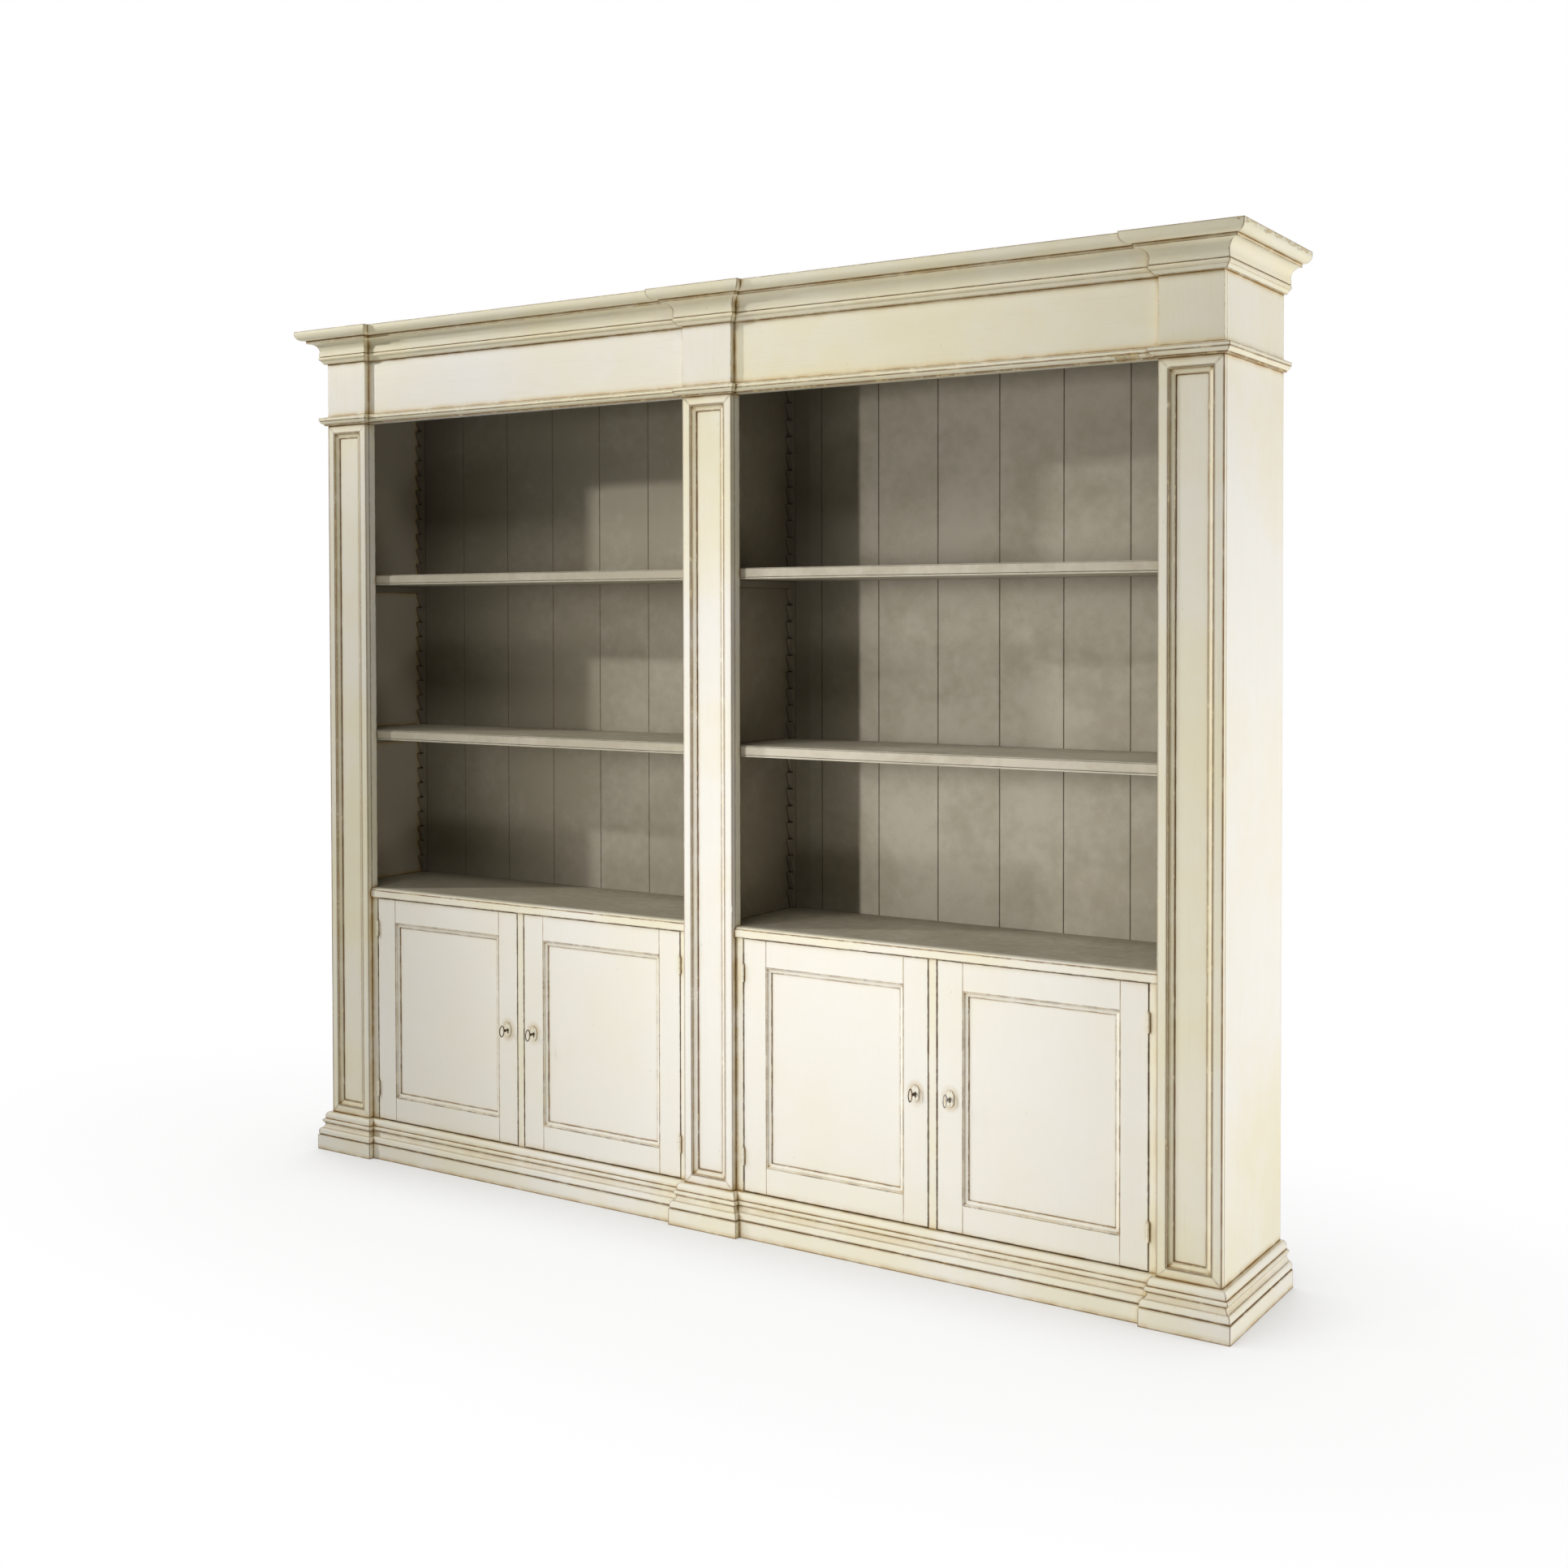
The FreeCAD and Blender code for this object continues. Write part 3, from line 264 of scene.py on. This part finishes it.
def behind_posts(s):
    """Back faces of the posts and face frame."""
    return s.above(s.depth(), POST_BACK - SKIN)


def waist_back(s):
    """Top of the waist moulding behind its nosing."""
    return s.above(s.depth(), BAY_FACE + WAIST_LIP)


def lock_case(s):
    """Everything of a lock but its painted escutcheon."""
    return s.above(s.depth(), BAY_FACE + 0.001)


def cornice_inside(s):
    """Faces of the cornice towards its open middle."""
    side, front = CORNICE_INSIDE
    return s.times(s.below(s.width(), side + SKIN), s.above(s.depth(), front - SKIN),
                   s.below(s.height(), TOP - SKIN))


def side_joint(s):
    """Upright hairline on the side where the front boards end."""
    return line(s, s.minus(s.depth(), BAY_FACE))


def pilaster_joints(s):
    """Slanting hairlines at the corners of the pilaster frames, and the rubbed corner outside."""
    outer = s.size(s.minus(s.width(), PILASTER_MID))
    from_side = s.minus(BAY_IN, s.math("MINIMUM", s.width(), outer))
    from_end = s.math("MINIMUM", s.minus(s.height(), PILASTER_FOOT),
                      s.minus(PILASTER_HEAD, s.height()))
    mitre = s.times(line(s, s.minus(from_side, from_end)), 0.3)
    corner = s.times(s.ramp(s.width(), BODY - 0.005, BODY - 0.002),
                     s.ramp(s.depth(), FRONT + 0.004, FRONT + 0.002))
    return s.most(mitre, corner)


def door_joints(s):
    """Upright hairlines where the rails meet the stiles."""
    off = s.size(s.minus(s.width(), BAY_MID))
    return s.most(*(line(s, s.minus(off, end), 0.0009) for end in DOOR_RAIL_ENDS))


def moulding_mitres(s):
    """Hairlines at every corner that a moulding turns."""
    found = []
    for face in (FRONT, BAY_FACE):
        out = s.minus(face, s.depth())
        for away in (s.minus(BAY_OUT, s.width()), s.minus(s.width(), BAY_IN)):
            found.append(line(s, s.minus(away, out)))
    out = s.minus(FRONT, s.depth())
    found.append(line(s, s.minus(s.minus(s.width(), BODY), out)))
    return s.times(s.most(*found), s.below(s.depth(), BAY_FACE))


def board_turns(s):
    """Back boards counted from the middle of a bay outwards: whole numbers lie on the joints."""
    return s.math("DIVIDE", s.minus(s.width(), BAY_MID), BOARD_WIDE)


def board_lines(s):
    """Upright lines at the joints of the back boards."""
    turns = board_turns(s)
    return line(s, s.times(s.minus(turns, s.math("ROUND", turns)), BOARD_WIDE), 0.0013)


def board_joints(s):
    """The same lines as the paint shows them, weaker in the left bay."""
    return s.times(board_lines(s), s.minus(0.6, s.times(left_half(s), 0.45)))


def flaked(s):
    """The cornice's top edge at the right end, and a spot of the necking over the right bay."""
    ragged = s.times(s.noise(30.0, detail=3.0, shift=1.0), 0.022)
    top = s.times(s.ramp(s.plus(s.height(), ragged), TOP - 0.001, TOP + 0.003),
                  s.ramp(s.across(), CORNICE_END - 0.03, CORNICE_END - 0.01))
    place, level = FLAKED_NECKING
    necking = s.times(s.ramp(s.size(s.minus(s.across(), place)), 0.09, 0.03),
                      s.below(s.size(s.minus(s.height(), level)), 0.012),
                      s.below(s.depth(), FRONT + 0.01))
    return s.most(top, necking)


def lock_dirt(s):
    """Darkened paint round each escutcheon."""
    rise = s.times(s.minus(s.height(), LOCK_HEIGHT), 0.8)
    found = []
    for place in LOCKS:
        aside = s.minus(s.width(), place)
        away = s.math("SQRT", s.plus(s.times(aside, aside), s.times(rise, rise)))
        found.append(s.ramp(away, DIRT_REACH, DIRT_REACH / 2))
    return s.most(*found)


# ---------------------------------------------------------------- finishes
def raw_wood(s, grain, boards=False):
    """Wood that was never painted, dusty in places; boards gives each back board its own tone."""
    fine = s.noise(60.0, stretch=grain, detail=6.0, rough=0.65, shift=8.0)
    broad = s.noise(9.0, stretch=grain, detail=3.0, shift=5.0)
    tone = s.plus(s.times(fine, 0.55), s.times(broad, 0.45))
    if boards:
        count = s.plus(s.math("FLOOR", board_turns(s)), s.times(left_half(s), 11.0))
        tone = s.plus(tone, s.times(s.math("SINE", s.times(count, 12.9)), 0.05))
    colour = s.mix(s.ramp(tone, 0.36, 0.64), RAW_WOOD, RAW_WOOD_DARK)
    dust = s.ramp(s.noise(2.4, detail=5.0, rough=0.6, shift=1.0), 0.42, 0.68)
    colour = s.mix(s.times(dust, 0.45), colour, RAW_WOOD_GREY)
    if boards:
        colour = s.mix(s.times(board_lines(s), 0.9), colour, GAP)
    return colour


def stains(s):
    """Small dark patches on bare metal."""
    return s.ramp(s.noise(160.0, detail=5.0, rough=0.7), 0.38, 0.66)


def cream(name, grain=(1, 1, 1), inner=None, joints=None, whiter_where_lit=None, chips=None, bare=None,
          halo=None, iron=None, age=0.5, wear=1.0, glaze=0.0045, edge=None):
    """Cream paint with brush streaks, brown glaze in recesses, rubbed arrises and fly specks.

    grain stretches the streaks along the wood. age is how far the paint has yellowed, wear how
    broken the arrises are, glaze how far the brown reaches out of a recess, and edge how far an
    arris is rubbed. The others are masks: inner for grey-brown paint, joints for the hairlines
    where boards meet, fresh for painted light, paint made whiter and lighter where the light falls
    stronger, chips for edges that have lost flakes of paint, bare for wood that was never painted,
    halo for dirt that hands have left, and iron for metal without paint."""
    s = Shader(name, 0.5)
    s.bsdf.inputs["Specular IOR Level"].default_value = 0.18
    cloud = s.noise(2.6, detail=6.0, rough=0.62)
    streak = s.noise(60.0, stretch=grain, detail=5.0, rough=0.7, shift=7.7)
    patch = s.noise(17.0, detail=4.0, rough=0.6, shift=5.0)
    yellow = s.ramp(cloud, 0.34, 0.66, max(0.0, age - 0.3), min(1.0, age + 0.3))
    # painted light: the paint is made less yellow, so whiter and lighter, where the light falls
    # stronger
    if whiter_where_lit is not None:
        yellow = s.math("SUBTRACT", yellow, s.times(whiter_where_lit(s), 0.6), clamp=True)
    colour = s.mix(yellow, CREAM, CREAM_AGED)
    colour = s.mix(s.times(s.ramp(streak, 0.50, 0.80), 0.06 + 0.14 * age), colour, BRUSHED)
    if inner is not None:
        colour = s.mix(inner(s), colour, TAUPE)

    # glaze: a wide ochre band, a brown one inside it, and the darkest at the bottom of the recess
    patchy = s.ramp(patch, 0.32, 0.62, 0.4, 1.0)
    wide = s.ramp(s.hollow(4 * glaze, samples=6), 0.08, 0.36)
    near = s.hollow(glaze)
    colour = s.mix(s.times(wide, patchy, 0.60 + 0.40 * age), colour, TAN)
    colour = s.mix(s.times(s.ramp(near, 0.10, 0.30), patchy, 0.95), colour, GLAZE)
    colour = s.mix(s.ramp(near, 0.42, 0.70), colour, GLAZE_DEEP)
    if joints is not None:
        colour = s.mix(s.times(joints(s), s.ramp(patch, 0.25, 0.6, 0.2, 0.85)), colour, GLAZE)
    if halo is not None:
        colour = s.mix(s.times(halo(s), patchy, 0.45), colour, TAN)

    # wear: rubbed arrises, flakes and specks
    turned = arris(s, edge or 0.002 + 0.003 * wear)
    rub = s.noise(24.0, detail=6.0, rough=0.8, shift=9.0)
    broken = s.ramp(rub, 0.60 - 0.14 * wear, 0.66 - 0.14 * wear)
    colour = s.mix(s.times(s.ramp(turned, 0.004, 0.05), patchy, 0.30 + 0.30 * wear), colour, TAN)
    colour = s.mix(s.times(s.ramp(turned, 0.05, 0.12), broken, 0.95), colour, GLAZE_DEEP)
    if chips is not None:
        flake = s.ramp(s.noise(45.0, detail=6.0, rough=0.7, shift=3.0), 0.50, 0.53)
        rim = s.ramp(s.size(s.minus(flake, 0.5)), 0.5, 0.2)
        colour = s.mix(s.times(chips(s), flake, 0.6), colour, TAN)
        colour = s.mix(s.times(chips(s), rim), colour, GLAZE_DEEP)
    colour = s.mix(s.times(s.specks(70.0, 0.11, 0.035), 0.6), colour, GLAZE)

    unpainted = s.above(s.depth(), WALL_SIDE - SKIN)
    if bare is not None:
        unpainted = s.most(unpainted, bare(s))
    colour = s.mix(unpainted, colour, raw_wood(s, grain))
    if iron is not None:
        colour = s.mix(iron(s), colour, s.mix(stains(s), IRON, IRON_DARK))
        s.put(s.bsdf.inputs["Metallic"], s.times(iron(s), 0.85))

    normal = s.bump(streak, 0.20, 0.0006, rounded(s, min(0.0015, edge or 1)))
    return s.done(colour, s.ramp(streak, 0.3, 0.8, 0.42, 0.58), normal)


def taupe(name, grain=(1, 1, 1), glaze=0.005, base=TAUPE, joints=None, pale=False):
    """Grey-brown paint of the inside, cloudy, with painted shade in its corners, and bare wood
    outside.

    glaze is how wide the dark lines in recesses are, joints masks in the lines where boards meet,
    and pale lightens the arrises instead of darkening them."""
    s = Shader(name, 0.5)
    s.bsdf.inputs["Specular IOR Level"].default_value = 0.2
    cloud = s.noise(3.4, detail=7.0, rough=0.65)
    smear = s.noise(34.0, detail=5.0, rough=0.6, shift=2.0)
    streak = s.noise(90.0, stretch=grain, detail=4.0, rough=0.7, shift=4.0)
    tone = s.plus(s.times(cloud, 0.75), s.times(smear, 0.25))
    # painted shade: the paint of the left bay is made darker
    tone = s.plus(tone, s.times(left_half(s), 0.10))
    aged = tuple(channel * share for channel, share in zip(base, AGED_SHARE))
    colour = s.mix(s.ramp(tone, 0.38, 0.66), base, aged)
    colour = s.mix(s.times(s.ramp(streak, 0.5, 0.8), 0.10), colour, TAUPE_PALE)

    # painted shade: in corners, more of it towards the top of a bay, and most in the left one
    closed = s.times(s.ramp(s.hollow(0.35, samples=6), 0.18, 0.65),
                     s.ramp(s.height(), 1.2, 2.2, 0.6, 0.95))
    top_shade = s.times(s.ramp(s.height(), 1.6, 2.35), s.plus(0.30, s.times(left_half(s), 0.25)))
    colour = s.mix(s.most(closed, top_shade), colour, TAUPE_SHADE)
    deepest = 0.5 if joints else 0.92
    colour = s.mix(s.times(s.ramp(s.hollow(glaze), 0.16, 0.45), deepest), colour, TAUPE_GLAZE)
    broken = s.ramp(s.noise(30.0, detail=5.0, rough=0.7, shift=6.0), 0.40, 0.58, 0.35, 1.0)
    turned = s.ramp(arris(s, 0.003), 0.02, 0.12)
    colour = s.mix(s.times(turned, broken, 0.6), colour, TAUPE_PALE if pale else TAUPE_GLAZE)
    if joints is not None:
        colour = s.mix(joints(s), colour, TAUPE_GLAZE)

    outside = s.most(s.above(s.depth(), PLAIN_BACK - SKIN), s.above(s.height(), CARCASS_TOP - SKIN))
    colour = s.mix(outside, colour, raw_wood(s, grain, joints is not None))
    normal = s.bump(streak, 0.2, 0.0005, rounded(s, 0.0015))
    return s.done(colour, s.ramp(smear, 0.3, 0.7, 0.5, 0.65), normal)


def metal(name, colour, dark, roughness):
    """Stained metal with grime in its recesses."""
    s = Shader(name, roughness)
    s.bsdf.inputs["Metallic"].default_value = 1.0
    stain = stains(s)
    shade = s.mix(stain, colour, dark)
    shade = s.mix(s.times(s.ramp(s.hollow(0.002), 0.2, 0.7), 0.8), shade, GRIME)
    normal = s.bump(s.noise(900.0, detail=2.0), 0.15, 0.0002)
    return s.done(shade, s.ramp(stain, 0.0, 1.0, roughness, roughness + 0.2), normal)


# painted light: fresh makes the left half, the middle pilaster below eye level and the middle of
# the sides whiter and lighter where the light falls stronger
cream_x = cream("cream_along", ALONG_X, whiter_where_lit=left_half, age=0.75)
cream_z = cream("cream_upright", ALONG_Z, whiter_where_lit=left_half, age=0.8, wear=0.6)
cream_side = cream("cream_side_panel", ALONG_Z, inner=inside_sides, joints=side_joint,
                   whiter_where_lit=side_middle, age=0.6, wear=0.5)
cream_post = cream("cream_post", ALONG_Z, inner=behind_posts)
cream_waist = cream("cream_waist", ALONG_X, inner=waist_back)
cream_pilaster = cream("cream_pilaster", ALONG_Z, joints=pilaster_joints, whiter_where_lit=middle,
                       age=0.65, wear=1.8, glaze=0.006)
cream_panel = cream("cream_pilaster_panel", ALONG_Z, whiter_where_lit=middle, age=0.65, wear=1.3, glaze=0.007)
cream_flank = cream("cream_pilaster_moulding", ALONG_Z, whiter_where_lit=middle,
                    age=0.95, wear=1.6, glaze=0.010)
cream_door = cream("cream_door", ALONG_Z, joints=door_joints, halo=lock_dirt,
                   age=0.0, wear=0.8, glaze=0.005)
cream_cornice = cream("cream_cornice", ALONG_X, joints=moulding_mitres, chips=flaked,
                      bare=cornice_inside, age=0.85, wear=1.3)
cream_base = cream("cream_base", ALONG_X, joints=moulding_mitres, age=0.35, wear=1.3)
cream_hinge = cream("cream_hinge", wear=0.3, glaze=0.0015, edge=0.0007)
cream_lock = cream("cream_lock", iron=lock_case, wear=0.3, glaze=0.0015, edge=0.0007)
# painted shade: these pieces take the darker grey-brown
taupe_x = taupe("taupe_along", ALONG_X, base=TAUPE_SHADED_TOPS)
taupe_y = taupe("taupe_deep", ALONG_Y)
taupe_z = taupe("taupe_upright", ALONG_Z)
taupe_boards = taupe("taupe_boards", ALONG_Z, glaze=0.0015, base=TAUPE_BOARDS, joints=board_joints)
taupe_nosing = taupe("taupe_nosing", ALONG_X, glaze=0.004, base=TAUPE_NOSING, pale=True)
brass = metal("aged_brass", (0.36, 0.25, 0.11), (0.14, 0.09, 0.04), 0.38)
steel = metal("lock_steel", (0.42, 0.41, 0.39), (0.22, 0.20, 0.18), 0.35)
bronze = metal("key_bronze", (0.16, 0.11, 0.07), (0.05, 0.035, 0.025), 0.32)

# finish of each node by the end of its name, the first that fits
FINISH = {
    "right_outer_door_key": steel,
    "_key": bronze,
    "_bolt": steel,
    "_hinge_leaves": cream_hinge,
    "_door_lock": cream_lock,
    "_door_frame": cream_door,
    "_door_panel": cream_door,
    "_door_moulding": cream_door,
    "_nosing": taupe_nosing,
    "_shelf": taupe_x,
    "side_panels": cream_side,
    "pilaster_posts": cream_post,
    "face_frame": cream_post,
    "pilaster_frames": cream_pilaster,
    "pilaster_panels": cream_panel,
    "pilaster_mouldings": cream_flank,
    "pilaster_blocks": cream_z,
    "frieze_boards": cream_x,
    "waist_mouldings": cream_waist,
    "plinth_boards": cream_base,
    "base_moulding": cream_base,
    "necking_moulding": cream_cornice,
    "cornice_moulding": cream_cornice,
    "frame_hinges": cream_hinge,
    "strike_plates": brass,
    "upper_back_boards": taupe_boards,
    "centre_dividers": taupe_z,
    "shelf_racks": taupe_z,
    "shelf_cleats": taupe_y,
    "carcass_tops": taupe_x,
    "waist_boards": taupe_x,
    "cupboard_floors": taupe_x,
    "cupboard_backs": taupe_x,
    "floor_bearers": taupe_x,
}
for node_name, piece in nodes.items():
    finish = next(found for end, found in FINISH.items() if node_name.endswith(end))
    piece.data.materials.clear()
    piece.data.materials.append(finish)


# ---------------------------------------------------------------- floor and backdrop
def seen_directly(tree):
    """1 for rays from the camera, and for mirrored and refracted ones."""
    path = tree.nodes.new("ShaderNodeLightPath")
    total = path.outputs["Is Camera Ray"]
    for other in ("Is Glossy Ray", "Is Transmission Ray"):
        node = tree.nodes.new("ShaderNodeMath")
        node.operation = "MAXIMUM"
        tree.links.new(total, node.inputs[0])
        tree.links.new(path.outputs[other], node.inputs[1])
        total = node.outputs[0]
    return total


def pale_floor():
    """White floor that keeps a soft shadow near the object and joins the backdrop further out."""
    s = Shader("pale_floor", 0.9)
    s.done(s.mix(s.noise(6.0), FLOOR_PALE, FLOOR_GREY))
    glow = s.new("ShaderNodeEmission")
    s.put(glow.inputs["Color"], WHITE)
    oval = s.new("ShaderNodeVectorMath", operation="MULTIPLY")
    oval.inputs[1].default_value = (0.45, 1.0, 1.0)
    s.put(oval.inputs[0], s.place)
    away = s.new("ShaderNodeVectorMath", operation="LENGTH")
    s.put(away.inputs[0], oval.outputs[0])
    share = s.ramp(away.outputs["Value"], 0.6, 1.5, 0.88, 1.0)
    shadow = s.ramp(s.hollow(0.45), 0.02, 0.6, 0.0, 0.55)
    share = s.math("SUBTRACT", share, shadow, clamp=True)
    blend = s.new("ShaderNodeMixShader")
    s.put(blend.inputs[0], s.times(seen_directly(s.tree), share))
    s.put(blend.inputs[1], s.bsdf.outputs[0])
    s.put(blend.inputs[2], glow.outputs[0])
    s.put(s.out.inputs["Surface"], blend.outputs[0])
    bpy.ops.mesh.primitive_plane_add(size=60, location=(0, 0, 0))
    floor = bpy.context.object
    floor.name = "floor"
    floor.data.materials.append(s.material)


def backdrop(light):
    """World that is white to the eye and gives only a little light."""
    world = bpy.data.worlds.new("studio")
    bpy.context.scene.world = world
    world.use_nodes = True
    tree = world.node_tree
    tree.nodes.clear()
    seen = tree.nodes.new("ShaderNodeBackground")
    seen.inputs[0].default_value = (*WHITE, 1)
    ambient = tree.nodes.new("ShaderNodeBackground")
    ambient.inputs[0].default_value = (*WORLD_LIGHT, 1)
    ambient.inputs[1].default_value = light
    pick = tree.nodes.new("ShaderNodeMixShader")
    out = tree.nodes.new("ShaderNodeOutputWorld")
    tree.links.new(seen_directly(tree), pick.inputs[0])
    tree.links.new(ambient.outputs[0], pick.inputs[1])
    tree.links.new(seen.outputs[0], pick.inputs[2])
    tree.links.new(pick.outputs[0], out.inputs[0])


pale_floor()
backdrop(0.02)


# ---------------------------------------------------------------- lamps
def lamp(name, kind, place, aim, watts):
    data = bpy.data.lights.new(name, kind)
    data.energy = watts
    data.color = LAMP_LIGHT
    item = bpy.data.objects.new(name, data)
    bpy.context.scene.collection.objects.link(item)
    item.location = place
    item.rotation_euler = (Vector(aim) - Vector(place)).to_track_quat("-Z", "Y").to_euler()
    return data


def panel(name, place, aim, size, watts, spread=180):
    data = lamp(name, "AREA", place, aim, watts)
    data.shape = "RECTANGLE"
    data.size, data.size_y = size
    data.spread = math.radians(spread)


def spot(name, place, aim, angle, watts):
    data = lamp(name, "SPOT", place, aim, watts)
    data.spot_size = math.radians(angle)
    data.spot_blend = 1.0
    data.shadow_soft_size = 0.12


FAR_LEFT = (-5.75, -3.19, 3.8)
panel("key", (-1.58, -3.93, 1.6), (0.70, -0.05, 1.05), (0.12, 1.3), 8.6, spread=50)
panel("far_left", FAR_LEFT, (0.2, 0, 1.3), (0.25, 0.25), 183)
spot("far_left_spot", FAR_LEFT, (-1.3, -0.16, 2.6), 16, 160)
panel("right", (4.5, 0.3, 1.3), (BODY, 0, 1.2), (1.5, 2.0), 86)
panel("top", (0, -2.3, 4.4), (0, 0, 1.6), (2.4, 1.0), 42)
panel("low_front", (0.3, -1.6, 0.05), (0.3, -0.3, 0.3), (3.0, 0.3), 9)
panel("behind", (-1.0, 5.0, 2.4), (0, 0.2, 1.3), (3.0, 2.0), 120)
panel("left", (-4.5, 1.5, 1.6), (-BODY, 0, 1.3), (1.5, 2.0), 30)

# ---------------------------------------------------------------- camera, fitted to the photograph
FRAME_PX = 1932
SENSOR_MM = 36
FOCAL_PX, CENTRE_PX = 2266.46, (1034.5, 813.4)
EYE = (2.8929, -4.1042, 1.6204)
YAW, PITCH, ROLL = -0.5615, -0.0214, 0.0013

forward = Vector((math.sin(YAW) * math.cos(PITCH), math.cos(YAW) * math.cos(PITCH),
                  math.sin(PITCH)))
level_right = Vector((math.cos(YAW), -math.sin(YAW), 0))
level_down = forward.cross(level_right)
right = math.cos(ROLL) * level_right + math.sin(ROLL) * level_down
down = -math.sin(ROLL) * level_right + math.cos(ROLL) * level_down
lens = bpy.data.cameras.new("camera")
lens.sensor_width = SENSOR_MM
lens.lens = FOCAL_PX / FRAME_PX * SENSOR_MM
lens.shift_x = (FRAME_PX / 2 - CENTRE_PX[0]) / FRAME_PX
lens.shift_y = (CENTRE_PX[1] - FRAME_PX / 2) / FRAME_PX
lens.clip_start, lens.clip_end = 0.1, 100
camera = bpy.data.objects.new("camera", lens)
bpy.context.scene.collection.objects.link(camera)
turn = Matrix((right, -down, -forward)).transposed().to_4x4()
camera.matrix_world = Matrix.Translation(EYE) @ turn
bpy.context.scene.camera = camera

bpy.context.scene.view_settings.view_transform = "Standard"
